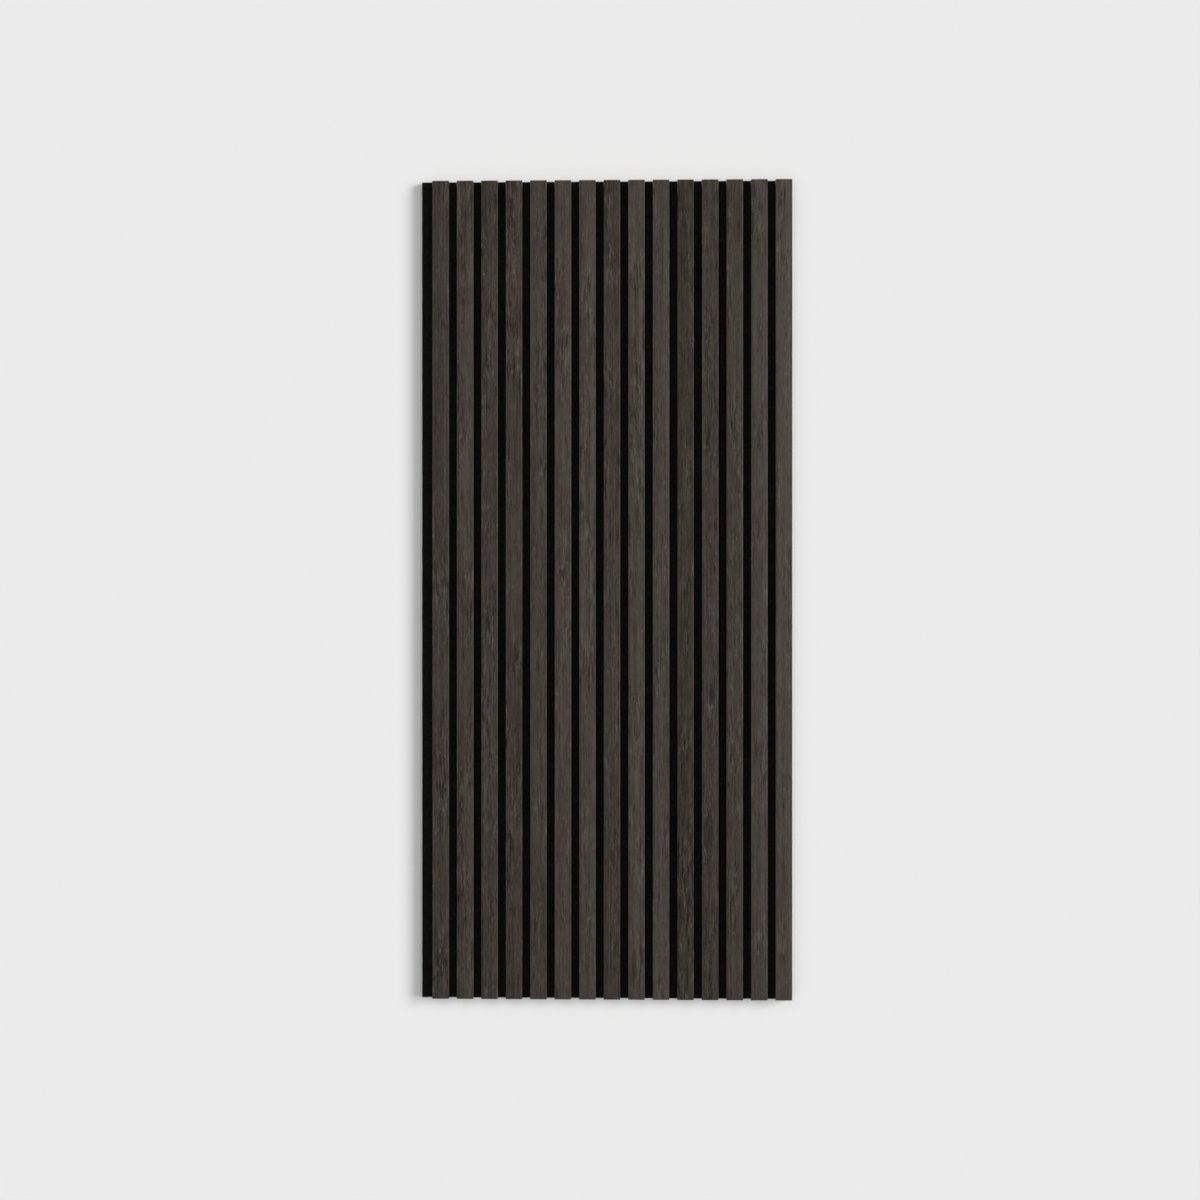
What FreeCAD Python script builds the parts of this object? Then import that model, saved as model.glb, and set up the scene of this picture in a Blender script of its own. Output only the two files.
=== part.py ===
# Acoustic slat wall panel: a sheet of black felt that carries a row of upright slats.
# Each slat is a fibreboard core with wood veneer folded round its face and both sides.
# Staples driven from behind hold the slats to the felt, in rows up the panel.
#
# Millimetres, +Z up, +X to the right of someone who faces the panel.
# The origin is the centre of the felt's back face, which lies on the wall, and the
# slats stand out from it towards -Y.
import FreeCAD, Part
import os

import Sketcher

DRIVING_SIZES = [
    ("panel_length", 1336, "felt and slats, top to bottom"),
    ("felt_thickness", 9, "needled polyester felt, uncompressed"),
    ("joint_margin", 18, "bare felt left of the first slat, where the next panel butts"),
    ("slat_count", 15, "slats across the panel"),
    ("slat_width", 27, "over the veneer"),
    ("slat_thickness", 12, "felt to face, over the veneer"),
    ("gap_width", 13, "bare felt between two slats"),
    ("veneer_thickness", 0.6, "on the face and both sides of a slat"),
    ("core_arris_radius", 0.5, "eased front edges of the fibreboard core"),
    ("staple_rows", 4, "rows of staples up the panel"),
    ("row_inset", 60, "end of the panel to the nearest row"),
    ("staple_crown", 12.8, "staple width over its legs"),
    ("staple_leg", 16, "crown to leg tip, over the crown"),
    ("wire_width", 0.95, "flattened wire, across the leg"),
    ("wire_thickness", 0.65, "flattened wire, through the leg"),
    ("crown_depth", 0.4, "staple crown below the felt's back face"),
    ("dimple_margin", 0.6, "felt pressed in around a staple crown"),
]

# Sizes and places that several pieces share.
PITCH = "(Sizes.slat_width + Sizes.gap_width)"
SLAT_SPAN = f"((Sizes.slat_count - 1) * {PITCH})"
PANEL_WIDTH = f"(Sizes.joint_margin + {SLAT_SPAN} + Sizes.slat_width)"
FIRST_SLAT_X = f"(Sizes.joint_margin + Sizes.slat_width / 2 - {PANEL_WIDTH} / 2)"
SLAT_FACE_Y = "(-Sizes.felt_thickness - Sizes.slat_thickness)"
OUTER_ARRIS = "(Sizes.core_arris_radius + Sizes.veneer_thickness)"
ROW_SPAN = "(Sizes.panel_length - 2 * Sizes.row_inset)"
LOWEST_ROW_Z = f"(-{ROW_SPAN} / 2)"
HALF_CROWN = "(Sizes.staple_crown / 2)"
HALF_THROAT = "(Sizes.staple_crown / 2 - Sizes.wire_thickness)"
HALF_WIRE = "(Sizes.wire_width / 2)"
LEG_TIP_Y = "(-Sizes.crown_depth - Sizes.staple_leg)"

doc = FreeCAD.newDocument("slat_panel")


def make_sizes():
    """The sheet of driving sizes, one row for each: its name, its value and what it means."""
    sheet = doc.addObject("Spreadsheet::Sheet", "Sizes")
    for row, (alias, value, meaning) in enumerate(DRIVING_SIZES, start=1):
        sheet.set(f"A{row}", alias)
        sheet.set(f"B{row}", str(value))
        sheet.set(f"C{row}", meaning)
        sheet.setAlias(f"B{row}", alias)
    doc.recompute()
    return sheet


def origin_feature(body, role):
    """One of a body's own origin planes or axes."""
    return next(feature for feature in body.Origin.OriginFeatures if feature.Role == role)


def new_body(label):
    body = doc.addObject("PartDesign::Body", label)
    body.Label = label
    body.AllowCompound = True
    return body


def new_sketch(body, name, plane, offset=None):
    """A sketch on one of the body's origin planes, moved along its normal by an expression."""
    sketch = body.newObject("Sketcher::SketchObject", name)
    sketch.AttachmentSupport = (origin_feature(body, plane), [""])
    sketch.MapMode = "FlatFace"
    if offset:
        sketch.setExpression("AttachmentOffset.Base.z", offset)
    return sketch


def add_bound(sketch, name, expression, *constraint):
    """Adds a dimension to a sketch and ties it to the driving sizes."""
    index = sketch.addConstraint(Sketcher.Constraint(*constraint, sketch.evalExpression(expression)))
    sketch.renameConstraint(index, name)
    sketch.setExpression(f"Constraints.{name}", expression)


def draw_box(sketch, name, left, right, bottom, top, bottom_radius=None):
    """A rectangle between four expressions. A radius, if given, rounds its two bottom corners."""
    x_left, x_right, y_bottom, y_top = map(sketch.evalExpression, (left, right, bottom, top))
    corners = [(x_left, y_bottom), (x_right, y_bottom), (x_right, y_top), (x_left, y_top)]
    points = [FreeCAD.Vector(x, y, 0) for x, y in corners]
    lines = [
        sketch.addGeometry(Part.LineSegment(points[side], points[(side + 1) % 4]), False)
        for side in range(4)
    ]
    for side, line in enumerate(lines):
        sketch.addConstraint(Sketcher.Constraint("Coincident", line, 2, lines[(side + 1) % 4], 1))
        sketch.addConstraint(Sketcher.Constraint(("Horizontal", "Vertical")[side % 2], line))

    bottom_line, right_line, top_line, left_line = lines
    if bottom_radius:
        first_arc = sketch.GeometryCount
        for line in (bottom_line, left_line):
            sketch.fillet(line, 2, sketch.evalExpression(bottom_radius))
        sketch.addConstraint(Sketcher.Constraint("Equal", first_arc, first_arc + 1))
        add_bound(sketch, f"{name}_radius", bottom_radius, "Radius", first_arc)

    add_bound(sketch, f"{name}_left", left, "DistanceX", -1, 1, left_line, 1)
    add_bound(sketch, f"{name}_right", right, "DistanceX", -1, 1, right_line, 1)
    add_bound(sketch, f"{name}_bottom", bottom, "DistanceY", -1, 1, bottom_line, 1)
    add_bound(sketch, f"{name}_top", top, "DistanceY", -1, 1, top_line, 1)


def draw_core_section(sketch):
    """The fibreboard across its length: square at the felt, with two eased front edges."""
    half_width = "(Sizes.slat_width / 2 - Sizes.veneer_thickness)"
    draw_box(sketch, "core", f"-{half_width}", half_width,
             f"{SLAT_FACE_Y} + Sizes.veneer_thickness", "-Sizes.felt_thickness",
             bottom_radius="Sizes.core_arris_radius")


def draw_leg_slots(sketch, column_x):
    """The two slots that a staple's legs open, in the lowest row, seen along the legs."""
    for name, near, far in (("left_leg", f"-{HALF_CROWN}", f"-{HALF_THROAT}"),
                            ("right_leg", HALF_THROAT, HALF_CROWN)):
        draw_box(sketch, name, f"{column_x} + {near}", f"{column_x} + {far}",
                 f"{LOWEST_ROW_Z} - {HALF_WIRE}", f"{LOWEST_ROW_Z} + {HALF_WIRE}")


def run_both_ways(body, kind, sketch, length):
    """A section padded or pocketed both ways from its plane, over the given length in all."""
    feature = body.newObject(f"PartDesign::{kind}", kind)
    feature.Profile = sketch
    feature.SideType = "Symmetric"
    feature.setExpression("Length", length)
    return feature


def cut_forwards(body, name, sketch, depth=None):
    """A pocket from the sketch's plane towards the slats, right through if no depth is given."""
    pocket = body.newObject("PartDesign::Pocket", name)
    pocket.Profile = sketch
    pocket.Reversed = True
    if depth:
        pocket.setExpression("Length", depth)
    else:
        pocket.Type = "ThroughAll"
    return pocket


def repeat(body, features, *runs):
    """Copies features along one or two of the body's axes. A run is an axis, a span and a count."""
    pattern = body.newObject("PartDesign::LinearPattern", "Repeat")
    pattern.Originals = features
    for suffix, (axis, span, count) in zip(("", "2"), runs):
        setattr(pattern, f"Direction{suffix}", (origin_feature(body, axis), [""]))
        pattern.setExpression(f"Length{suffix}", span)
        pattern.setExpression(f"Occurrences{suffix}", count)
    body.Tip = pattern


def make_felt():
    """The felt sheet, with a dimple for each staple crown and slots for its two legs."""
    body = new_body("felt_backing")
    sheet = new_sketch(body, "SheetSection", "XY_Plane")
    draw_box(sheet, "sheet", f"-{PANEL_WIDTH} / 2", f"{PANEL_WIDTH} / 2", "-Sizes.felt_thickness", "0")
    run_both_ways(body, "Pad", sheet, "Sizes.panel_length")

    dimple = new_sketch(body, "DimpleOutline", "XZ_Plane")
    draw_box(dimple, "dimple",
             f"{FIRST_SLAT_X} - {HALF_CROWN} - Sizes.dimple_margin",
             f"{FIRST_SLAT_X} + {HALF_CROWN} + Sizes.dimple_margin",
             f"{LOWEST_ROW_Z} - {HALF_WIRE} - Sizes.dimple_margin",
             f"{LOWEST_ROW_Z} + {HALF_WIRE} + Sizes.dimple_margin")
    dimple_cut = cut_forwards(body, "Dimple", dimple, "Sizes.crown_depth + Sizes.wire_thickness")

    legs = new_sketch(body, "LegOutlines", "XZ_Plane")
    draw_leg_slots(legs, FIRST_SLAT_X)
    leg_cut = cut_forwards(body, "LegSlots", legs)
    repeat(body, [dimple_cut, leg_cut],
           ("X_Axis", SLAT_SPAN, "Sizes.slat_count"), ("Z_Axis", ROW_SPAN, "Sizes.staple_rows"))
    return body


def make_core(number):
    """A slat's fibreboard core, with the slots that the staple legs cut into its back."""
    body = new_body(f"slat_core_{number:02d}")
    section = new_sketch(body, "Section", "XY_Plane")
    draw_core_section(section)
    run_both_ways(body, "Pad", section, "Sizes.panel_length")

    legs = new_sketch(body, "LegOutlines", "XZ_Plane", "Sizes.felt_thickness")
    draw_leg_slots(legs, "0")
    leg_cut = cut_forwards(body, "LegSlots", legs, f"-{LEG_TIP_Y} - Sizes.felt_thickness")
    repeat(body, [leg_cut], ("Z_Axis", ROW_SPAN, "Sizes.staple_rows"))
    return body


def make_veneer(number):
    """The veneer folded over a slat's face and down both sides to the felt."""
    body = new_body(f"slat_veneer_{number:02d}")
    outside = new_sketch(body, "Outside", "XY_Plane")
    draw_box(outside, "slat", "-Sizes.slat_width / 2", "Sizes.slat_width / 2",
             SLAT_FACE_Y, "-Sizes.felt_thickness", bottom_radius=OUTER_ARRIS)
    run_both_ways(body, "Pad", outside, "Sizes.panel_length")

    inside = new_sketch(body, "Inside", "XY_Plane")
    draw_core_section(inside)
    run_both_ways(body, "Pocket", inside, "Sizes.panel_length")
    return body


def make_staple_row(number):
    """One row of staples across the panel, a staple to each slat, as separate solids."""
    body = new_body(f"staple_row_{number}")
    outside = new_sketch(body, "Outside", "XY_Plane")
    draw_box(outside, "wire", f"-{HALF_CROWN}", HALF_CROWN, LEG_TIP_Y, "-Sizes.crown_depth")
    wire = run_both_ways(body, "Pad", outside, "Sizes.wire_width")

    throat = new_sketch(body, "Throat", "XY_Plane")
    draw_box(throat, "throat", f"-{HALF_THROAT}", HALF_THROAT,
             LEG_TIP_Y, "-Sizes.crown_depth - Sizes.wire_thickness")
    opening = run_both_ways(body, "Pocket", throat, "Sizes.wire_width")
    repeat(body, [wire, opening], ("X_Axis", SLAT_SPAN, "Sizes.slat_count"))
    return body


def place_in_slat(body, number):
    body.setExpression("Placement.Base.x", f"{FIRST_SLAT_X} + {number - 1} * {PITCH}")


def place_in_row(body, number):
    body.setExpression("Placement.Base.x", FIRST_SLAT_X)
    row_pitch = f"{ROW_SPAN} / (Sizes.staple_rows - 1)"
    body.setExpression("Placement.Base.z", f"{LOWEST_ROW_Z} + {number - 1} * {row_pitch}")


def make_panel():
    """Every piece of the panel, in its place."""
    pieces = [make_felt()]
    for number in range(1, int(sizes.slat_count) + 1):
        for make_piece in (make_core, make_veneer):
            pieces.append(make_piece(number))
            place_in_slat(pieces[-1], number)
    for number in range(1, int(sizes.staple_rows) + 1):
        pieces.append(make_staple_row(number))
        place_in_row(pieces[-1], number)
    return pieces


def write_steps(pieces):
    """Writes each piece to its own file, once the whole model is known to be sound."""
    for item in doc.Objects:
        if "Invalid" in item.State or "Error" in item.State:
            raise RuntimeError(f"{item.Label} failed: {item.State}")
    for piece in pieces:
        if piece.Shape.isNull() or not piece.Shape.isValid():
            raise RuntimeError(f"{piece.Label} has no valid shape")
    os.makedirs("parts", exist_ok=True)
    for piece in pieces:
        piece.Shape.exportStep(f"parts/{piece.Label}.step")
        print(f"{piece.Label}: {len(piece.Shape.Solids)} solids, {piece.Shape.Volume:.1f} mm3")


sizes = make_sizes()
panel = make_panel()
doc.recompute()
write_steps(panel)
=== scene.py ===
"""The looks of an acoustic slat wall panel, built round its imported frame.

Fifteen slats of fibreboard, wrapped in smoked oak veneer, stand on a sheet of black felt.
The frame's fibreboard cores stay and get a finish. The veneers, the felt and the staples are
modelled again here in finer form. The panel hangs on a pale wall in a plain pale studio.
Lengths are in metres.
"""

import logging
import math
import random
from collections.abc import Callable, Iterable, Sequence
from dataclasses import dataclass, field
from enum import Enum

import bmesh
import bpy
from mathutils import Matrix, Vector


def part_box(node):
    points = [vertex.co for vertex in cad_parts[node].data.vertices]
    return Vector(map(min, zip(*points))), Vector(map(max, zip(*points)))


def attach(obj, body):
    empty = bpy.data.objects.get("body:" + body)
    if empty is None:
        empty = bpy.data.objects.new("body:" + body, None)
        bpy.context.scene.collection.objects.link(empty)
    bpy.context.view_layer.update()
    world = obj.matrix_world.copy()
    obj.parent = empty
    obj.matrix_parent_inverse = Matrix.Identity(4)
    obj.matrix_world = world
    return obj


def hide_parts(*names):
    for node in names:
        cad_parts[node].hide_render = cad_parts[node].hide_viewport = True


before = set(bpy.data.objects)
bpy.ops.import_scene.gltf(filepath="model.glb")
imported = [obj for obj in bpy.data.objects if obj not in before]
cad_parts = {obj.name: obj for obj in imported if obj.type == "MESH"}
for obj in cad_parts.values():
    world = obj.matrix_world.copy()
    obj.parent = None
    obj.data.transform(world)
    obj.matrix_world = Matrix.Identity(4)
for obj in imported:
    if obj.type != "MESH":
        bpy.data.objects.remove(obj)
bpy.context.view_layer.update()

log = logging.getLogger("slat_panel")

MM = 0.001
TOUCH = 0.01 * MM  # how near two places lie that count as one
FACING = 0.9  # share of a face's normal along an axis, above which it faces that way
CORNER = 80  # degrees between two faces, above which their edge is a corner
EASED = 60  # degrees between two faces, above which their edge is eased
ROOT = "root"

Colour = tuple[float, float, float]
Span = tuple[float, float]
Wanted = Callable[[Vector, bmesh.types.BMEdge | bmesh.types.BMFace], bool]


def linear(red: float, green: float, blue: float) -> tuple[float, float, float, float]:
    """A colour given as on a screen, 0 to 255, as the linear colour that a shader takes."""
    shares = (channel / 255 for channel in (red, green, blue))
    return (*(s / 12.92 if s <= 0.04045 else ((s + 0.055) / 1.055) ** 2.4 for s in shares), 1.0)


# Shader tools


class Channel:
    """What one node socket gives, ready to be used in an expression."""

    def __init__(self, graph: "Graph", socket: bpy.types.NodeSocket) -> None:
        """Wraps a socket.

        Args:
            graph: the graph that the socket's node is in.
            socket: an output socket.
        """
        self.graph = graph
        self.socket = socket

    def __add__(self, other: "Channel | float") -> "Channel":
        """Self plus other."""
        return self.graph.math("ADD", self, other)

    def __radd__(self, other: float) -> "Channel":
        """Other plus self."""
        return self.graph.math("ADD", other, self)

    def __sub__(self, other: "Channel | float") -> "Channel":
        """Self minus other."""
        return self.graph.math("SUBTRACT", self, other)

    def __rsub__(self, other: float) -> "Channel":
        """Other minus self."""
        return self.graph.math("SUBTRACT", other, self)

    def __mul__(self, other: "Channel | float") -> "Channel":
        """Self times other."""
        return self.graph.math("MULTIPLY", self, other)

    def __rmul__(self, other: float) -> "Channel":
        """Other times self."""
        return self.graph.math("MULTIPLY", other, self)

    def __abs__(self) -> "Channel":
        """The size of self, without its sign."""
        return self.graph.math("ABSOLUTE", self, 0.0)

    def sister(self, output: str) -> "Channel":
        """Another output of the same node."""
        return Channel(self.graph, self.socket.node.outputs[output])


Input = Channel | float | tuple[float, ...]


@dataclass(frozen=True)
class Noise:
    """Soft noise.

    Attributes:
        waves: how many there are in one unit of the point that it is read at.
        detail: how many finer noises are added.
        rough: how strong each finer noise is.
        bend: how much the noise is distorted by itself.
    """

    waves: float
    detail: float = 2.0
    rough: float = 0.5
    bend: float = 0.0


class Graph:
    """The node tree of a material or world, and the ways to add to it."""

    def __init__(self, tree: bpy.types.NodeTree) -> None:
        """Empties a node tree and takes it over.

        Args:
            tree: the tree of a material or a world.
        """
        self.tree = tree
        tree.nodes.clear()

    def node(
        self,
        kind: str,
        inputs: dict[int | str, Input] | None = None,
        settings: dict[str, object] | None = None,
        output: int | str = 0,
    ) -> Channel:
        """Adds a node.

        Args:
            kind: the node's type, without the words ShaderNode.
            inputs: a value or a channel for each socket, by name or number.
            settings: the node's own settings, which are set before its sockets.
            output: which of its sockets to return.

        Returns:
            The chosen output.
        """
        made = self.tree.nodes.new(f"ShaderNode{kind}")
        for name, value in (settings or {}).items():
            setattr(made, name, value)
        for name, value in (inputs or {}).items():
            if isinstance(value, Channel):
                self.tree.links.new(value.socket, made.inputs[name])
            else:
                made.inputs[name].default_value = value
        return Channel(self, made.outputs[output])

    def math(self, operation: str, first: Input, second: Input) -> Channel:
        """One Math node on one or two numbers."""
        return self.node("Math", {0: first, 1: second}, {"operation": operation})

    def vector(self, operation: str, first: Input, second: Input) -> Channel:
        """One Vector Math node on two vectors."""
        return self.node("VectorMath", {0: first, 1: second}, {"operation": operation})

    def here(self) -> Channel:
        """The point that is shaded, in the piece's own coordinates."""
        return self.node("TexCoord", output="Object")

    def place(self, where: Channel, stretch: Sequence[float], move: Sequence[float]) -> Channel:
        """A point stretched and then moved, for a pattern to read."""
        inputs = {"Vector": where, "Location": tuple(move), "Scale": tuple(stretch)}
        return self.node("Mapping", inputs)

    def noise(self, where: Channel, noise: Noise) -> Channel:
        """Reads a noise at a point, as a number from about 0.2 to 0.8."""
        return self.node("TexNoise", {
            "Vector": where,
            "Scale": noise.waves,
            "Detail": noise.detail,
            "Roughness": noise.rough,
            "Distortion": noise.bend,
        })

    def step(self, value: Channel, low: float, high: float) -> Channel:
        """Rises smoothly from 0 at low to 1 at high."""
        inputs = {"Value": value, "From Min": low, "From Max": high}
        return self.node("MapRange", inputs, {"interpolation_type": "SMOOTHSTEP"})

    def blend(self, share: Input, first: Input, second: Input) -> Channel:
        """A colour between two colours.

        Args:
            share: 0 for the first colour, 1 for the second.
            first: a colour.
            second: a colour.

        Returns:
            The mixed colour.
        """
        first_colour, second_colour, mixed_colour = 6, 7, 2
        inputs = {"Factor": share, first_colour: first, second_colour: second}
        return self.node("Mix", inputs, {"data_type": "RGBA"}, output=mixed_colour)

    def scaled(self, colour: Input, factor: Channel) -> Channel:
        """A colour made lighter or darker by a factor."""
        return self.node("VectorMath", {0: colour, "Scale": factor}, {"operation": "SCALE"})

    def bump(self, height: Channel, depth: float, strength: float) -> Channel:
        """A normal for a surface with relief.

        Args:
            height: the relief, from 0 to 1.
            depth: what a height of 1 is, in metres.
            strength: how much of it shows.

        Returns:
            The normal.
        """
        return self.node("Bump", {"Height": height, "Distance": depth, "Strength": strength})

    def surface(self, inputs: dict[int | str, Input]) -> None:
        """Ends the graph in one plain shader with these inputs."""
        self.finish(self.node("BsdfPrincipled", inputs))

    def finish(self, shader: Channel, kind: str = "Material") -> None:
        """Ends the graph in a material's or a world's output."""
        output = self.tree.nodes.new(f"ShaderNodeOutput{kind}")
        self.tree.links.new(shader.socket, output.inputs["Surface"])


def new_material(name: str) -> tuple[bpy.types.Material, Graph]:
    """An empty material.

    Args:
        name: the material's name.

    Returns:
        The material and its graph.
    """
    material = bpy.data.materials.new(name)
    material.use_nodes = True
    return material, Graph(material.node_tree)


def dress(piece: bpy.types.Object, material: bpy.types.Material) -> None:
    """Gives a piece one material all over."""
    piece.data.materials.clear()
    piece.data.materials.append(material)


# Finishes


class Tone(Enum):
    """How light a strip of veneer is, against the middle of the batch."""

    DEEP = 0.65
    DARK = 0.84
    MIDDLE = 1.0
    LIGHT = 1.16
    PALE = 1.32


@dataclass(frozen=True)
class Layer:
    """One layer of the wood's figure, drawn out along the grain.

    Attributes:
        across: waves in a metre across the grain.
        along: waves in a metre along the grain.
        detail: how many finer noises are added.
        rough: how strong each finer noise is.
        span: the noise at which its mask starts, and at which it is full.
        light: how much it changes the lightness.
        dulling: how much it changes the roughness.
        height: how much it changes the relief.
    """

    across: float
    along: float
    detail: float = 2.0
    rough: float = 0.5
    span: Span = (0.0, 1.0)
    light: float = 0.0
    dulling: float = 0.0
    height: float = 0.0


@dataclass(frozen=True)
class Strip:
    """A strip of veneer, from which the layers of its figure are read."""

    graph: Graph
    grain: Channel
    start: tuple[float, ...]

    def noise(self, layer: Layer) -> Channel:
        """Reads the noise of a layer.

        Args:
            layer: the layer.

        Returns:
            A number round a half.
        """
        stretch = (layer.across, layer.across, layer.along)
        where = self.graph.place(self.grain, stretch, self.start)
        return self.graph.noise(where, Noise(1.0, layer.detail, layer.rough))

    def mask(self, layer: Layer) -> Channel:
        """A layer's mask, from 0 to 1."""
        return self.graph.step(self.noise(layer), *layer.span)


@dataclass(frozen=True)
class VeneerFinish:
    """Smoked oak veneer, matt oiled: grey brown, in olive, mauve and ochre patches.

    Dark pores crowd along the growth rings, and pale and dark flecks fray out along the grain.
    Where the wood is dark it turns umber, and where it is light, ash.

    Attributes:
        tone: how light the strip is.
        cut: a number of its own, for where in the log it was cut.
        centre_x: the slat's middle.
        half_width: from there to its sides.
        front_y: its face.
        tint: how far the wood turns to umber or ash.
        rings_in_noise: growth rings in a rise of their noise from 0 to 1.
        pore_cover: the share of the wood that is pore, whose darkness the rest makes up for.
        pore_crowding: how much the rings gather the pores.
        calm: how strong streaks and flecks are where they are weakest.
        stirred: how much stronger they are where they are strongest.
        frayed: how strong flecks are where they fray out.
        whole: how much stronger they are where they don't.
        drift: how far the grain waves from side to side.
        knots: the cells to a metre, along each axis, that hold one pin knot each.
        knot_push: how strongly a knot pushes the grain aside.
        rub_and_highlight_fade: the share of the band, next to the side, fully rubbed and painted
            lighter.
    """

    tone: Tone
    cut: float
    centre_x: float
    half_width: float
    front_y: float

    olive: Colour = (53.6, 52, 43.4)
    mauve: Colour = (57.6, 48, 45.3)
    ochre: Colour = (59.5, 50.5, 40)
    bark: Colour = (39, 30, 24)
    umber: Colour = (61.5, 48, 35)
    ash: Colour = (56, 51.7, 49.5)
    mauve_patch: Layer = Layer(80, 9, span=(0.35, 0.57))
    ochre_patch: Layer = Layer(70, 14, span=(0.52, 0.67))
    fleck_stain: float = 0.25
    eye_stain: float = 0.8
    deep_span: Span = (0.4, 1.05)
    worn_span: Span = (0.95, 1.5)
    tint: float = 0.45

    cloud: Layer = Layer(26, 12, light=0.5)
    band: Layer = Layer(270, 2.2, rough=0.55, light=1.35)
    ring: Layer = Layer(34, 1.7, detail=1.4, rough=0.45, light=0.04, height=0.12)
    rings_in_noise: float = 16.0
    streak: Layer = Layer(280, 33, detail=3.0, rough=0.65, light=3.3)
    fibre: Layer = Layer(900, 30, detail=3.0, rough=0.65, light=0.9, dulling=0.25, height=0.6)
    pore: Layer = Layer(
        2400, 90, detail=1.0, span=(0.57, 0.63), light=0.5, dulling=0.1, height=0.7
    )
    pore_cover: float = 0.12
    pore_crowding: float = 0.03
    fleck: Layer = Layer(380, 105, light=0.6)
    pale_span: Span = (0.32, 0.42)
    dark_span: Span = (0.58, 0.68)
    stir: Layer = Layer(50, 9, span=(0.46, 0.62))
    calm: float = 0.45
    stirred: float = 0.9
    fray: Layer = Layer(1500, 40, span=(0.42, 0.58))
    frayed: float = 0.3
    whole: float = 1.4

    cut_spacing: tuple[float, float, float] = (1.7, 0.6, 3.1)
    drift: float = 5 * MM
    drift_waves: tuple[float, float, float] = (9, 9, 3.2)
    knots: tuple[float, float, float] = (22, 22, 5)
    knot_reach: Span = (0.03, 0.30)
    knot_push: float = 0.8
    eye_span: Span = (0.02, 0.06)
    eye_depth: float = 0.5

    roughness: float = 0.58
    specular: float = 0.2
    relief: float = 0.08 * MM
    # a band along each arris, which handling rubs smoother and where a highlight is painted
    rub_and_highlight_width: float = 1.3 * MM
    rub_and_highlight_fade: float = 0.35
    # painted highlight: how much lighter the arrises' colour is made, for the light they catch as
    # well as for worn stain
    painted_arris_highlight: float = 0.05
    rub_polish: float = 0.06

    def material(self, name: str) -> bpy.types.Material:
        """The material of one strip.

        Args:
            name: the material's name.

        Returns:
            The material.
        """
        material, graph = new_material(name)
        start = tuple(self.cut * spacing for spacing in self.cut_spacing)
        here = graph.here()
        grain, eye = self.lay_grain(graph, here, start)
        strip = Strip(graph, grain, start)

        swell = strip.noise(self.ring) * (2 * math.pi * self.rings_in_noise)
        rings = graph.math("SINE", swell, 0.0)
        stir = self.calm + strip.mask(self.stir) * self.stirred
        streak = (strip.noise(self.streak) - 0.5) * stir
        fray = stir * (self.frayed + strip.mask(self.fray) * self.whole)
        fleck = strip.noise(self.fleck)
        dark_fleck = graph.step(fleck, *self.dark_span) * fray
        pale_fleck = (1.0 - graph.step(fleck, *self.pale_span)) * fray
        fibre = strip.noise(self.fibre) - 0.5
        pore = graph.step(strip.noise(self.pore) + rings * self.pore_crowding, *self.pore.span)

        light = (
            self.tone.value
            + (strip.noise(self.cloud) - 0.5) * self.cloud.light
            + (strip.noise(self.band) - 0.5) * self.band.light
            + streak * self.streak.light
            + fibre * self.fibre.light
            + rings * self.ring.light
            + pale_fleck * self.fleck.light
            - (pore - self.pore_cover) * self.pore.light
        )
        stain = graph.math("MAXIMUM", dark_fleck * self.fleck_stain, eye * self.eye_stain)
        height = (
            fibre * self.fibre.height
            + rings * self.ring.height
            - pore * self.pore.height
            - eye * self.eye_depth
        )
        rubbed_and_highlit = self.find_arris(graph, here)
        graph.surface({
            "Base Color": graph.scaled(
                self.mix_hues(strip, light, stain),
                # painted highlight: the arrises' colour is made lighter, for the light they catch
                # as well as for worn stain
                light * (1.0 + rubbed_and_highlit * self.painted_arris_highlight),
            ),
            "Roughness": (
                self.roughness
                + fibre * self.fibre.dulling
                + pore * self.pore.dulling
                - rubbed_and_highlit * self.rub_polish
            ),
            "Specular IOR Level": self.specular,
            "Normal": graph.bump(height, self.relief, strength=0.6),
        })
        return material

    def mix_hues(self, strip: Strip, light: Channel, stain: Channel) -> Channel:
        """The strip's hue all over, before its lightness.

        Args:
            strip: the strip.
            light: its lightness, about 1.
            stain: a mask of the dark flecks and knots.

        Returns:
            The hue, as a colour that is then made lighter or darker.
        """
        graph = strip.graph
        mauve = strip.mask(self.mauve_patch)
        hue = graph.blend(mauve, linear(*self.olive), linear(*self.mauve))
        hue = graph.blend(strip.mask(self.ochre_patch), hue, linear(*self.ochre))
        hue = graph.blend(stain, hue, linear(*self.bark))
        deep = 1.0 - graph.step(light, *self.deep_span)
        hue = graph.blend(deep * self.tint, hue, linear(*self.umber))
        worn = graph.step(light, *self.worn_span)
        return graph.blend(worn * self.tint, hue, linear(*self.ash))

    def lay_grain(
        self, graph: Graph, here: Channel, start: tuple[float, ...]
    ) -> tuple[Channel, Channel]:
        """Bends the grain in slow waves, and round a few pin knots.

        Args:
            graph: the material's graph.
            here: the plain coordinates.
            start: where in the log this strip was cut.

        Returns:
            The bent coordinates, and a mask of the knots' eyes.
        """
        wave = graph.noise(graph.place(here, self.drift_waves, start), Noise(1.0))
        sideways = graph.node("CombineXYZ", {"X": (wave - 0.5) * self.drift})
        waved = graph.vector("ADD", here, sideways)
        cell = graph.place(waved, self.knots, start)
        distance = graph.node("TexVoronoi", {"Vector": cell, "Scale": 1.0}, output="Distance")
        outwards = graph.vector("SUBTRACT", cell, distance.sister("Position"))
        in_metres = graph.vector("DIVIDE", outwards, self.knots)
        near = 1.0 - graph.step(distance, *self.knot_reach)
        grain = graph.vector("SUBTRACT", waved, graph.scaled(in_metres, near * self.knot_push))
        return grain, 1.0 - graph.step(distance, *self.eye_span)

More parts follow.
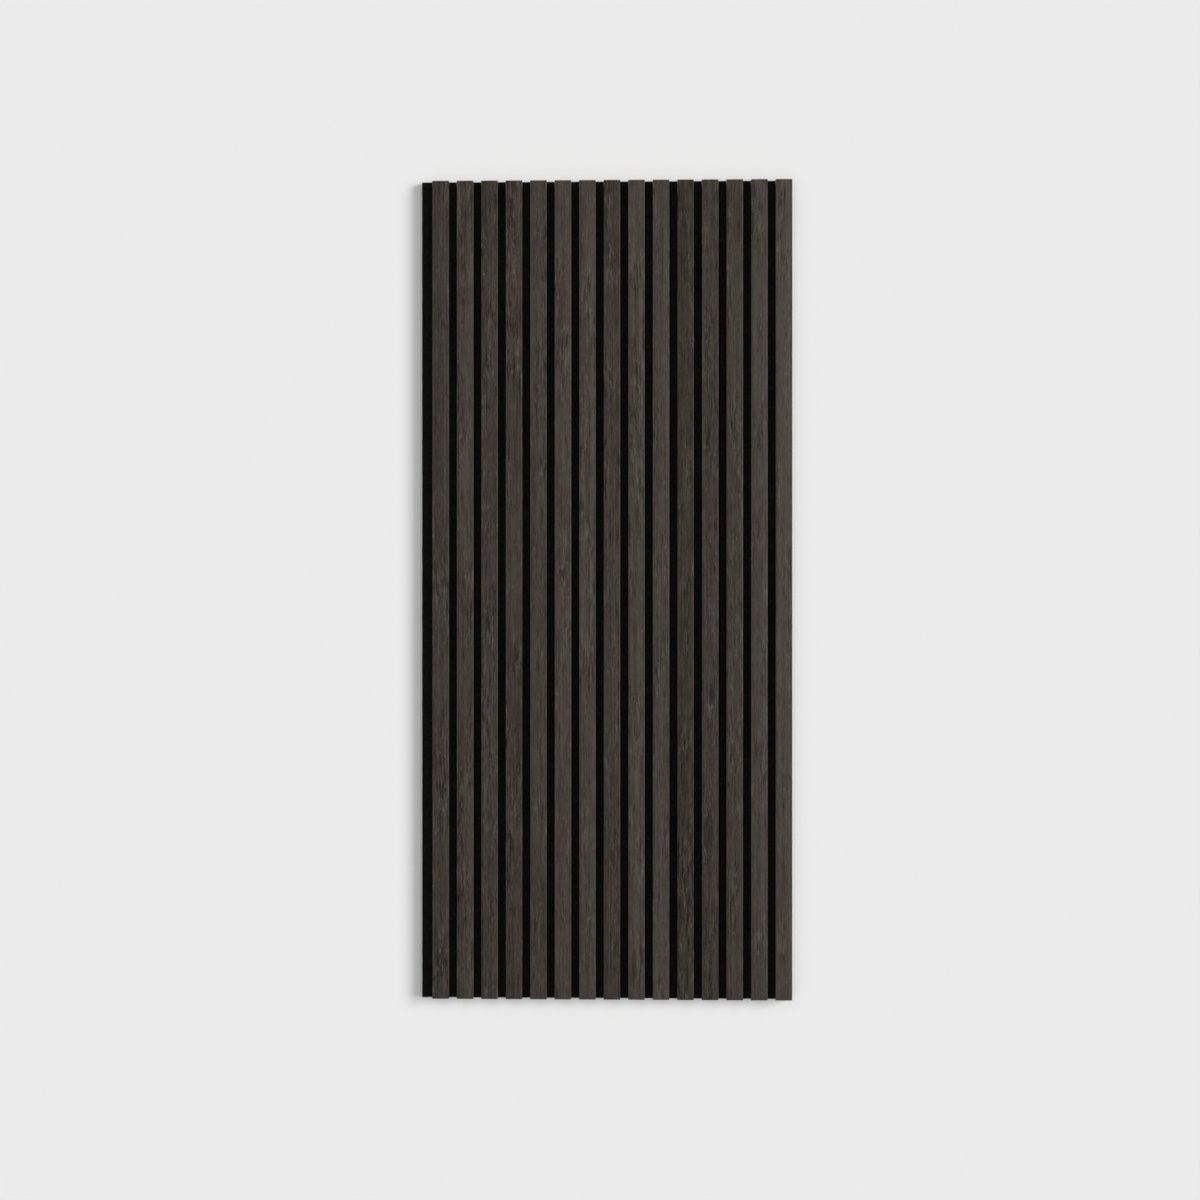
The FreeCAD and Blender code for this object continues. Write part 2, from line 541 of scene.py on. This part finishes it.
    def find_arris(self, graph: Graph, here: Channel) -> Channel:
        """Finds the two long arrises, where handling has rubbed the finish smooth and the stain
        thin, and where the colour is painted lighter as a highlight.

        Args:
            graph: the material's graph.
            here: the plain coordinates.

        Returns:
            A mask of them.
        """
        across = graph.node("SeparateXYZ", {"Vector": here}, output="X")
        side = graph.step(
            abs(across - self.centre_x),
            self.half_width - self.rub_and_highlight_width,
            self.half_width - self.rub_and_highlight_fade * self.rub_and_highlight_width,
        )
        depth = across.sister("Y") - self.front_y
        return side * (1.0 - graph.step(depth, self.rub_and_highlight_width, 2 * self.rub_and_highlight_width))


@dataclass(frozen=True)
class FeltFinish:
    """Black needled polyester felt: matt, with curled grey fibres caught in the surface.

    Each kind of strand is drawn where a bent noise passes its middle, within a width.
    """

    ground: Colour = (0.0034, 0.0032, 0.0028)
    fibre: Colour = (0.0350, 0.0338, 0.0310)
    strands: tuple[tuple[Noise, float], ...] = (
        (Noise(330, 1.0, 0.4, 1.8), 0.022),
        (Noise(620, 1.0, 0.4, 2.4), 0.035),
    )
    clump: Noise = Noise(230, 3.0, 0.6, 0.6)
    clump_span: Span = (0.36, 0.72)
    cloud: Noise = Noise(55)
    least_light: float = 0.5
    sheen: float = 0.04
    strand_height: float = 0.5
    clump_height: float = 0.5
    relief: float = 0.35 * MM

    def material(self, name: str) -> bpy.types.Material:
        """The felt's material.

        Args:
            name: the material's name.

        Returns:
            The material.
        """
        material, graph = new_material(name)
        here = graph.here()
        clump = graph.noise(here, self.clump)
        tangle = graph.math("MAXIMUM", *(
            1.0 - graph.step(abs(graph.noise(here, noise) - 0.5), 0.0, width)
            for noise, width in self.strands
        ))
        share = tangle * graph.step(clump, *self.clump_span)
        colour = graph.blend(share, (*self.ground, 1.0), (*self.fibre, 1.0))
        height = tangle * self.strand_height + clump * self.clump_height
        graph.surface({
            "Base Color": graph.scaled(colour, self.least_light + graph.noise(here, self.cloud)),
            "Roughness": 0.95,
            "Specular IOR Level": 0.05,
            "Sheen Weight": self.sheen,
            "Sheen Roughness": 0.6,
            "Normal": graph.bump(height, self.relief, strength=0.7),
        })
        return material


@dataclass(frozen=True)
class FibreboardFinish:
    """Sawn fibreboard: pressed brown fibre, denser and darker towards its two faces."""

    front_y: float
    back_y: float
    middle: Colour = (150, 121, 92)
    skin: Colour = (112, 85, 62)
    skin_start: float = 0.45
    chip: Noise = Noise(750, 3.0, 0.65)
    chip_squeeze: tuple[float, float, float] = (1.0, 2.2, 1.0)
    dust: Noise = Noise(4200)
    least_light: float = 0.35
    chip_light: float = 0.9
    dust_light: float = 0.4
    chip_height: float = 0.6
    dust_height: float = 0.4
    relief: float = 0.12 * MM

    def material(self, name: str) -> bpy.types.Material:
        """The fibreboard's material.

        Args:
            name: the material's name.

        Returns:
            The material.
        """
        material, graph = new_material(name)
        here = graph.here()
        depth = graph.node("SeparateXYZ", {"Vector": here}, output="Y")
        middle_y = (self.front_y + self.back_y) / 2
        half = (self.back_y - self.front_y) / 2
        skin = graph.step(abs(depth - middle_y), self.skin_start * half, half)
        chips = graph.noise(graph.place(here, self.chip_squeeze, Vector()), self.chip)
        dust = graph.noise(here, self.dust)
        light = self.least_light + chips * self.chip_light + dust * self.dust_light
        height = chips * self.chip_height + dust * self.dust_height
        colour = graph.blend(skin, linear(*self.middle), linear(*self.skin))
        graph.surface({
            "Base Color": graph.scaled(colour, light),
            "Roughness": 0.88,
            "Specular IOR Level": 0.2,
            "Normal": graph.bump(height, self.relief, strength=0.6),
        })
        return material


@dataclass(frozen=True)
class StapleFinish:
    """Galvanised steel wire, drawn along its length and dulled in spots."""

    bright: Colour = (0.60, 0.60, 0.59)
    dull: Colour = (0.36, 0.36, 0.37)
    spot: Noise = Noise(1100, 3.0, 0.6)
    spot_span: Span = (0.42, 0.66)
    drawing_waves: tuple[float, float, float] = (300, 9000, 9000)
    roughness: float = 0.30
    spot_dulling: float = 0.22
    drawing_dulling: float = 0.2
    relief: float = 0.02 * MM

    def material(self, name: str) -> bpy.types.Material:
        """The wire's material.

        Args:
            name: the material's name.

        Returns:
            The material.
        """
        material, graph = new_material(name)
        here = graph.here()
        spots = graph.step(graph.noise(here, self.spot), *self.spot_span)
        drawn = graph.noise(graph.place(here, self.drawing_waves, Vector()), Noise(1.0))
        graph.surface({
            "Base Color": graph.blend(spots, (*self.bright, 1.0), (*self.dull, 1.0)),
            "Metallic": 1.0,
            "Roughness": (
                self.roughness + spots * self.spot_dulling + (drawn - 0.5) * self.drawing_dulling
            ),
            "Normal": graph.bump(drawn, self.relief, strength=0.5),
        })
        return material


@dataclass(frozen=True)
class BackdropFinish:
    """Plain matt paint that only the camera sees, so it throws no light back at the panel."""

    shade: float
    glow: float

    def material(self, name: str) -> bpy.types.Material:
        """Paint on the side that its normal points to, and nothing at all from behind.

        Args:
            name: the material's name.

        Returns:
            The material.
        """
        material, graph = new_material(name)
        paint = graph.node("BsdfPrincipled", {
            "Base Color": (self.shade, self.shade, self.shade, 1.0),
            "Roughness": 1.0,
            "Specular IOR Level": 0.0,
            "Emission Color": (1.0, 1.0, 1.0, 1.0),
            "Emission Strength": self.glow,
        })
        nothing = graph.node("BsdfTransparent")
        behind = graph.node("NewGeometry", output="Backfacing")
        seen = graph.node("LightPath", output="Is Camera Ray")
        graph.finish(graph.node("MixShader", {0: (1.0 - behind) * seen, 1: nothing, 2: paint}))
        return material


# Modelling tools


class Kind(Enum):
    """Which elements of a mesh are chosen."""

    EDGE = "edges"
    FACE = "faces"


def only(piece: bpy.types.Object) -> None:
    """Selects one piece and nothing else.

    Args:
        piece: the piece.
    """
    bpy.ops.object.select_all(action="DESELECT")
    piece.select_set(True)
    bpy.context.view_layer.objects.active = piece


def add_block(name: str, low: Vector, high: Vector) -> bpy.types.Object:
    """A block between two corners, its place in its mesh.

    Args:
        name: the piece's name.
        low: its lowest corner.
        high: its highest corner.

    Returns:
        The new object, alone selected.
    """
    bpy.ops.object.select_all(action="DESELECT")
    bpy.ops.mesh.primitive_cube_add(size=1, location=(low + high) / 2, scale=high - low)
    block = bpy.context.object
    block.name = name
    block.data.name = name
    bpy.ops.object.transform_apply(location=True, rotation=True, scale=True)
    return block


class Bench:
    """A piece held in edit mode while it is shaped."""

    def __init__(self, piece: bpy.types.Object) -> None:
        """Takes the piece to be shaped."""
        self.piece = piece

    def __enter__(self) -> "Bench":
        """Enters edit mode with nothing chosen.

        Returns:
            The bench.
        """
        only(self.piece)
        bpy.ops.object.mode_set(mode="EDIT")
        bpy.ops.mesh.select_all(action="DESELECT")
        return self

    def __exit__(self, *problem: object) -> None:
        """Leaves edit mode."""
        bpy.ops.object.mode_set(mode="OBJECT")

    def choose(self, kind: Kind, wanted: Wanted) -> int:
        """Selects edges or faces by a test.

        Args:
            kind: edges or faces.
            wanted: gets an element's middle and the element, and says whether it is chosen.

        Returns:
            How many were chosen.
        """
        bpy.ops.mesh.select_mode(type=kind.name)
        bpy.ops.mesh.select_all(action="DESELECT")
        mesh = bmesh.from_edit_mesh(self.piece.data)
        mesh.normal_update()
        count = 0
        for element in getattr(mesh, kind.value):
            middle = sum((corner.co for corner in element.verts), Vector()) / len(element.verts)
            if wanted(middle, element):
                element.select_set(True)
                count += 1
        bmesh.update_edit_mesh(self.piece.data)
        return count

    def slice(self, axis: int, places: Iterable[float]) -> None:
        """Cuts new edges into the whole mesh, with nothing removed.

        Args:
            axis: 0, 1 or 2 for X, Y or Z.
            places: where along the axis the cuts go.
        """
        normal = Vector((axis == 0, axis == 1, axis == 2))
        for place in places:
            bpy.ops.mesh.select_all(action="SELECT")
            bpy.ops.mesh.bisect(plane_co=normal * place, plane_no=normal)


def add_modifier(piece: bpy.types.Object, kind: str, settings: dict[str, object]) -> None:
    """Adds a modifier, sets it and applies it.

    Args:
        piece: the piece to change.
        kind: the modifier's type.
        settings: the modifier's settings.
    """
    only(piece)
    modifier = piece.modifiers.new(kind.title(), kind)
    for name, value in settings.items():
        setattr(modifier, name, value)
    bpy.ops.object.modifier_apply(modifier=modifier.name)


def ease_edges(piece: bpy.types.Object, width: float) -> None:
    """Breaks every sharp edge of a piece in two small steps.

    Args:
        piece: the piece.
        width: how much of each face goes.
    """
    add_modifier(piece, "BEVEL", {
        "width": width,
        "segments": 2,
        "limit_method": "ANGLE",
        "angle_limit": math.radians(EASED),
    })


def smooth(piece: bpy.types.Object, angle: float) -> None:
    """Shades a piece smooth, apart from edges sharper than an angle in degrees."""
    only(piece)
    bpy.ops.object.shade_smooth_by_angle(angle=math.radians(angle))


def spread(middles: Iterable[float], offsets: Iterable[float]) -> list[float]:
    """Places at these offsets to both sides of each middle, without doubles."""
    return sorted({
        round(middle + side * offset, 6)
        for middle in middles
        for offset in offsets
        for side in (-1, 1)
    })


def stations(stops: Sequence[float], longest: float) -> list[float]:
    """Places that divide each stretch between two stops evenly.

    Args:
        stops: the stops, in order.
        longest: the greatest length of a part.

    Returns:
        The places, without the stops.
    """
    places = []
    for start, end in zip(stops, stops[1:]):
        count = math.ceil((end - start) / longest)
        places += [start + (end - start) * step / count for step in range(1, count)]
    return places


def is_corner(edge: bmesh.types.BMEdge) -> bool:
    """Whether two faces meet squarely at an edge."""
    return len(edge.link_faces) == 2 and edge.calc_face_angle() > math.radians(CORNER)


# Sub-assemblies


@dataclass
class Slat:
    """One slat: the frame's fibreboard core, with veneer folded over its face and both sides."""

    number: int
    tone: Tone
    arris_radius: float = 1.1 * MM
    arris_steps: int = 6
    sawn_edge: float = 0.12 * MM
    sharp_from: float = 35
    pieces: list[bpy.types.Object] = field(default_factory=list)

    @property
    def core_node(self) -> str:
        """The frame's node for the core."""
        return f"slat_core_{self.number:02d}"

    @property
    def veneer_node(self) -> str:
        """The frame's node for the veneer."""
        return f"slat_veneer_{self.number:02d}"

    def build(self) -> None:
        """Folds the veneer and dresses both pieces."""
        low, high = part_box(self.veneer_node)
        core_low, core_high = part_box(self.core_node)
        veneer = self.fold_veneer(low, high, core_low.y - low.y)
        finish = VeneerFinish(
            tone=self.tone,
            cut=float(self.number),
            centre_x=(low.x + high.x) / 2,
            half_width=(high.x - low.x) / 2,
            front_y=low.y,
        )
        dress(veneer, finish.material(f"smoked_oak_{self.number:02d}"))
        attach(veneer, ROOT)
        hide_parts(self.veneer_node)

        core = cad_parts[self.core_node]
        board = FibreboardFinish(core_low.y, core_high.y)
        dress(core, board.material(f"fibreboard_{self.number:02d}"))
        self.pieces = [veneer, core]

    def fold_veneer(self, low: Vector, high: Vector, thickness: float) -> bpy.types.Object:
        """A sheet folded round the slat's front, its arrises eased and its ends sawn.

        Args:
            low: the veneered slat's lowest corner.
            high: its highest corner.
            thickness: of the sheet.

        Returns:
            The veneer as a closed piece.
        """

        def is_open(middle: Vector, face: bmesh.types.BMFace) -> bool:
            """Whether a face is the block's back or one of its ends."""
            return face.normal.y > FACING or abs(face.normal.z) > FACING

        def is_arris(middle: Vector, edge: bmesh.types.BMEdge) -> bool:
            """Whether an edge is one of the two long ones at the front."""
            return abs(middle.y - low.y) < TOUCH and is_corner(edge)

        sheet = add_block(f"veneer_{self.number:02d}", low, high)
        with Bench(sheet) as bench:
            bench.choose(Kind.FACE, is_open)
            bpy.ops.mesh.delete(type="FACE")
            bench.choose(Kind.EDGE, is_arris)
            bpy.ops.mesh.bevel(
                offset=self.arris_radius, segments=self.arris_steps, affect="EDGES"
            )
        add_modifier(sheet, "SOLIDIFY", {
            "thickness": thickness,
            "offset": -1,
            "use_even_offset": True,
        })
        ease_edges(sheet, self.sawn_edge)
        smooth(sheet, self.sharp_from)
        return sheet


@dataclass
class FeltSheet:
    """The felt that carries the slats: soft, uneven, and pulled in at its back by staples."""

    columns: list[float]
    rows: list[float]
    slat_width: float
    carried: list[str]
    dimple_size: tuple[float, float] = (14.0 * MM, 2.15 * MM)
    press_steps: tuple[tuple[float, float], ...] = (
        (0.25 * MM, -0.35 * MM),
        (0.2 * MM, -0.7 * MM),
    )
    cut_edge: float = 0.6 * MM
    cut_edge_steps: int = 3
    column_cuts: tuple[float, ...] = (3.5 * MM, 10 * MM, 20 * MM)
    row_cuts: tuple[float, ...] = (4 * MM, 9 * MM)
    cell: float = 15 * MM
    pull_depth: float = 0.35 * MM
    pull_reach: float = 13 * MM
    unevenness: float = 0.5 * MM
    lump_size: float = 22 * MM
    sharp_from: float = 50

    def build(self) -> bpy.types.Object:
        """Cuts the sheet, presses it and dresses it.

        Returns:
            The felt.
        """
        low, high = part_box("felt_backing")
        sheet = add_block("felt_sheet", low, high)
        self.press(sheet, low.z, high.z)
        self.roughen(sheet, low.y)
        smooth(sheet, self.sharp_from)
        dress(sheet, FeltFinish().material("black_felt"))
        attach(sheet, ROOT)
        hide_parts("felt_backing")
        return sheet

    def press(self, sheet: bpy.types.Object, bottom: float, top: float) -> None:
        """Softens the cut edges, presses in a dimple under each staple and draws the back in.

        Args:
            sheet: the felt.
            bottom: its lower edge.
            top: its upper edge.
        """
        half_x, half_z = (size / 2 for size in self.dimple_size)

        def in_dimple(middle: Vector, face: bmesh.types.BMFace) -> bool:
            """Whether a face of the back lies under a staple."""
            return face.normal.y > FACING and any(
                abs(middle.x - x) < half_x and abs(middle.z - z) < half_z
                for x in self.columns for z in self.rows
            )

        with Bench(sheet) as bench:
            bench.choose(Kind.EDGE, lambda middle, edge: True)
            bpy.ops.mesh.bevel(offset=self.cut_edge, segments=self.cut_edge_steps, affect="EDGES")
            across = (half_x, self.slat_width / 2, *self.column_cuts)
            bench.slice(0, spread(self.columns, across))
            bench.slice(2, spread(self.rows, (half_z, *self.row_cuts)))
            bench.slice(2, stations((bottom, *self.rows, top), self.cell))
            count = bench.choose(Kind.FACE, in_dimple)
            for width, depth in self.press_steps:
                bpy.ops.mesh.inset(thickness=width, depth=depth)
            bpy.ops.transform.translate(
                value=(0, -self.pull_depth, 0),
                use_proportional_edit=True,
                use_proportional_connected=True,
                proportional_edit_falloff="SMOOTH",
                proportional_size=self.pull_reach,
            )
        log.info("felt pressed in by staples at %d faces", count)

    def roughen(self, sheet: bpy.types.Object, front_y: float) -> None:
        """Thins the sheet here and there, but never where a slat lies on it.

        Args:
            sheet: the felt.
            front_y: its front face.
        """
        half_slat = self.slat_width / 2 + TOUCH

        def is_free(middle: Vector, face: bmesh.types.BMFace) -> bool:
            """Whether no slat lies on a face."""
            covered = any(abs(middle.x - x) < half_slat for x in self.columns)
            return middle.y > front_y + TOUCH or not covered

        with Bench(sheet) as bench:
            bench.choose(Kind.FACE, is_free)
            sheet.vertex_groups.new(name="free")
            bpy.ops.object.vertex_group_assign()
            bench.choose(Kind.FACE, lambda middle, face: not is_free(middle, face))
            bpy.ops.object.vertex_group_remove_from()
        lumps = bpy.data.textures.new("felt_lumps", "CLOUDS")
        lumps.noise_scale = self.lump_size
        add_modifier(sheet, "DISPLACE", {
            "texture": lumps,
            "texture_coords": "LOCAL",
            "vertex_group": "free",
            "mid_level": 1.0,
            "strength": self.unevenness,
        })


@dataclass
class StapleRow:
    """A row of staples, one to each slat, driven in by hand and so a little askew."""

    number: int
    columns: list[float]
    crown: float = 12.8 * MM
    wire: tuple[float, float] = (0.65 * MM, 0.95 * MM)
    wire_edge: float = 0.1 * MM
    bend: float = 0.6 * MM
    bend_steps: int = 4
    point: float = 1.2 * MM
    skew: float = 1.2
    sharp_from: float = 35

    @property
    def node(self) -> str:
        """The frame's node for the row."""
        return f"staple_row_{self.number}"

    def build(self) -> bpy.types.Object:
        """Forms one staple, copies it to every slat and dresses the row.

        Returns:
            The row as one piece.
        """
        low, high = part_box(self.node)
        height = (low.z + high.z) / 2
        pattern = self.form_staple(low.y, high.y)
        draw = random.Random(self.number)
        copies = []
        for x in self.columns:
            staple = pattern.copy()
            staple.data = pattern.data.copy()
            bpy.context.scene.collection.objects.link(staple)
            staple.rotation_euler.y = math.radians(draw.uniform(-self.skew, self.skew))
            staple.location = (x, 0, height)
            copies.append(staple)
        bpy.data.objects.remove(pattern)
        row = copies[0]
        only(row)
        for staple in copies:
            staple.select_set(True)
        bpy.ops.object.join()
        bpy.ops.object.transform_apply(location=True, rotation=True, scale=True)
        row.name = row.data.name = f"staples_{self.number}"
        smooth(row, self.sharp_from)
        dress(row, StapleFinish().material(f"galvanised_wire_{self.number}"))
        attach(row, ROOT)
        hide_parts(self.node)
        return row

    def form_staple(self, tip_y: float, crown_y: float) -> bpy.types.Object:
        """One staple round the origin, its crown across and its legs towards the slats.

        Args:
            tip_y: where its points are.
            crown_y: the crown's outer face.

        Returns:
            The staple.
        """
        thickness, width = self.wire
        half = self.crown / 2
        inner = half - thickness
        inner_y = crown_y - thickness

        def is_leg_root(middle: Vector, face: bmesh.types.BMFace) -> bool:
            """Whether a face of the crown's inside is where a leg starts."""
            return face.normal.y < -FACING and abs(middle.x) > inner

        def is_inner_tip(middle: Vector, edge: bmesh.types.BMEdge) -> bool:
            """Whether an edge ends a leg's inner side."""
            return abs(middle.y - tip_y) < TOUCH and abs(abs(middle.x) - inner) < TOUCH

        def is_bend(middle: Vector, edge: bmesh.types.BMEdge) -> bool:
            """Whether an edge is an outer corner of the crown."""
            return abs(middle.y - crown_y) < TOUCH and abs(abs(middle.x) - half) < TOUCH

        low = Vector((-half, inner_y, -width / 2))
        high = Vector((half, crown_y, width / 2))
        staple = add_block("staple", low, high)
        with Bench(staple) as bench:
            bench.slice(0, (-inner, inner))
            bench.choose(Kind.FACE, is_leg_root)
            leg = (0, tip_y - inner_y, 0)
            bpy.ops.mesh.extrude_region_move(TRANSFORM_OT_translate={"value": leg})
            bench.choose(Kind.EDGE, is_inner_tip)
            bpy.ops.transform.translate(value=(0, self.point, 0))
            bench.choose(Kind.EDGE, is_bend)
            bpy.ops.mesh.bevel(offset=self.bend, segments=self.bend_steps, affect="EDGES")
        ease_edges(staple, self.wire_edge)
        return staple


# Studio


@dataclass
class Studio:
    """A pale wall and floor, a tall soft key on the right, a soft sky, and the camera."""

    wall_gap: float = 0.5 * MM
    wall_shade: float = 0.83
    floor_z: float = -1.05
    floor_shade: float = 0.5
    floor_glow: float = 0.4
    backdrop_width: float = 9.0
    backdrop_glow: float = 0.83
    camera_place: tuple[float, float, float] = (0.081, -3.425, -0.012)
    camera_yaw: float = 1.537
    camera_pitch: float = -0.075
    focal_length: float = 62.67
    key_lean: float = 1.9
    key_heights: tuple[float, ...] = (-0.05, 0.35, 0.8)
    key_disc: float = 16.0
    key_share: float = 0.48
    rear_direction: tuple[float, float, float] = (-1.0, 1.0, 0.9)
    rear_share: float = 0.45
    rear_disc: float = 25.0
    sky_all_round: float = 0.12
    sky_in_front: float = 1.2
    sky_focus: float = 4.0

    def build(self) -> None:
        """Sets up the backdrop, the light and the camera."""
        self.add_backdrop()
        self.add_sky()
        self.add_lamps()
        self.add_camera()

    def add_backdrop(self) -> None:
        """The wall that the panel hangs on, and the floor under it."""
        wall = Vector((0, self.wall_gap, self.floor_z + self.backdrop_width / 2))
        self.add_plane("wall", wall, 90, BackdropFinish(self.wall_shade, glow=0.0))
        floor = Vector((0, 0, self.floor_z))
        self.add_plane("floor", floor, 0, BackdropFinish(self.floor_shade, self.floor_glow))

    def add_plane(self, name: str, centre: Vector, turn: float, finish: BackdropFinish) -> None:
        """One backdrop plane.

        Args:
            name: of the plane.
            centre: of the plane.
            turn: degrees that it is tipped up from lying flat.
            finish: its paint.
        """
        bpy.ops.object.select_all(action="DESELECT")
        bpy.ops.mesh.primitive_plane_add(
            size=self.backdrop_width,
            location=centre,
            rotation=(math.radians(turn), 0, 0),
        )
        plane = bpy.context.object
        plane.name = name
        dress(plane, finish.material(f"{name}_paint"))

    def add_sky(self) -> None:
        """Soft light, mostly from in front, and a pale ground to see past the panel."""
        world = bpy.data.worlds.new("studio")
        world.use_nodes = True
        bpy.context.scene.world = world
        graph = Graph(world.node_tree)
        camera, glossy, through = (
            graph.node("LightPath", output=f"Is {kind} Ray")
            for kind in ("Camera", "Glossy", "Transmission")
        )
        seen = graph.math("MAXIMUM", graph.math("MAXIMUM", camera, glossy), through)
        towards = graph.node("TexCoord", output="Generated")
        forwards = graph.node("SeparateXYZ", {"Vector": towards}, output="Y") * -1.0
        front = graph.math("POWER", graph.math("MAXIMUM", forwards, 0.0), self.sky_focus)
        light = self.sky_all_round + front * self.sky_in_front
        strength = light + seen * (self.backdrop_glow - light)
        sky = graph.node("Background", {"Color": (1, 1, 1, 1), "Strength": strength})
        graph.finish(sky, "World")

    def add_lamps(self) -> None:
        """A tall soft key on the right, as a column of broad suns, and one behind for the back."""
        share = self.key_share / len(self.key_heights)
        for number, height in enumerate(self.key_heights, 1):
            towards = Vector((self.key_lean, -1, height))
            self.add_sun(f"key_{number}", towards, share, self.key_disc)
        self.add_sun("rear", Vector(self.rear_direction), self.rear_share, self.rear_disc)

    def add_sun(self, name: str, towards: Vector, share: float, disc: float) -> None:
        """A lamp as far off as the sun, but broad.

        Args:
            name: of the lamp.
            towards: where it stands, seen from the panel, one metre out from the wall.
            share: of the light that shows a white wall as white.
            disc: how wide it looks from the panel, in degrees.
        """
        lamp = bpy.data.lights.new(name, "SUN")
        lamp.angle = math.radians(disc)
        lamp.energy = math.pi * share * towards.length
        sun = bpy.data.objects.new(name, lamp)
        bpy.context.scene.collection.objects.link(sun)
        sun.rotation_euler = (-towards).to_track_quat("-Z", "Y").to_euler()

    def add_camera(self) -> None:
        """The photograph's camera, nearly square on to the panel."""
        data = bpy.data.cameras.new("camera")
        data.lens = self.focal_length
        camera = bpy.data.objects.new("camera", data)
        bpy.context.scene.collection.objects.link(camera)
        camera.location = self.camera_place
        tip, turn = math.radians(90 + self.camera_pitch), math.radians(self.camera_yaw)
        camera.rotation_euler = (tip, 0, turn)
        bpy.context.scene.camera = camera


@dataclass
class Panel:
    """The whole panel: felt, slats and staples.

    Attributes:
        off_middle: the numbers of the slats whose veneer isn't of the middle tone.
    """

    off_middle: dict[Tone, tuple[int, ...]] = field(default_factory=lambda: {
        Tone.DEEP: (11,),
        Tone.DARK: (1, 3, 4, 8, 12),
        Tone.LIGHT: (6, 7, 9, 10, 14),
        Tone.PALE: (15,),
    })

    def tone_of(self, number: int) -> Tone:
        """How light one slat's veneer is.

        Args:
            number: the slat's number.

        Returns:
            Its tone.
        """
        for tone, numbers in self.off_middle.items():
            if number in numbers:
                return tone
        return Tone.MIDDLE

    def build(self) -> None:
        """Builds and dresses every piece."""
        slat_numbers = self.numbers_of("slat_core")
        row_numbers = self.numbers_of("staple_row")
        slats = [Slat(number, self.tone_of(number)) for number in slat_numbers]
        cores = [slat.core_node for slat in slats]
        columns = [self.middle_of(core).x for core in cores]
        rows = [self.middle_of(f"staple_row_{number}").z for number in row_numbers]
        slat_low, slat_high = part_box(slats[0].veneer_node)

        felt = FeltSheet(columns, rows, slat_high.x - slat_low.x, cores).build()
        log.info("built %s", felt.name)
        for slat in slats:
            slat.build()
            log.info("built %s", ", ".join(piece.name for piece in slat.pieces))
        for number in row_numbers:
            row = StapleRow(number, columns).build()
            log.info("built %s", row.name)

    @staticmethod
    def numbers_of(kind: str) -> range:
        """The numbers of the frame's nodes of one kind, from 1 up."""
        return range(1, 1 + sum(name.startswith(kind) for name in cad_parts))

    @staticmethod
    def middle_of(node: str) -> Vector:
        """The middle of a node's box."""
        return sum(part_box(node), Vector()) / 2


def main() -> None:
    """Builds the panel and its studio."""
    logging.basicConfig(level=logging.INFO, format="%(message)s")
    bpy.context.scene.view_settings.view_transform = "Standard"
    Panel().build()
    Studio().build()


if __name__ == "__main__":
    main()
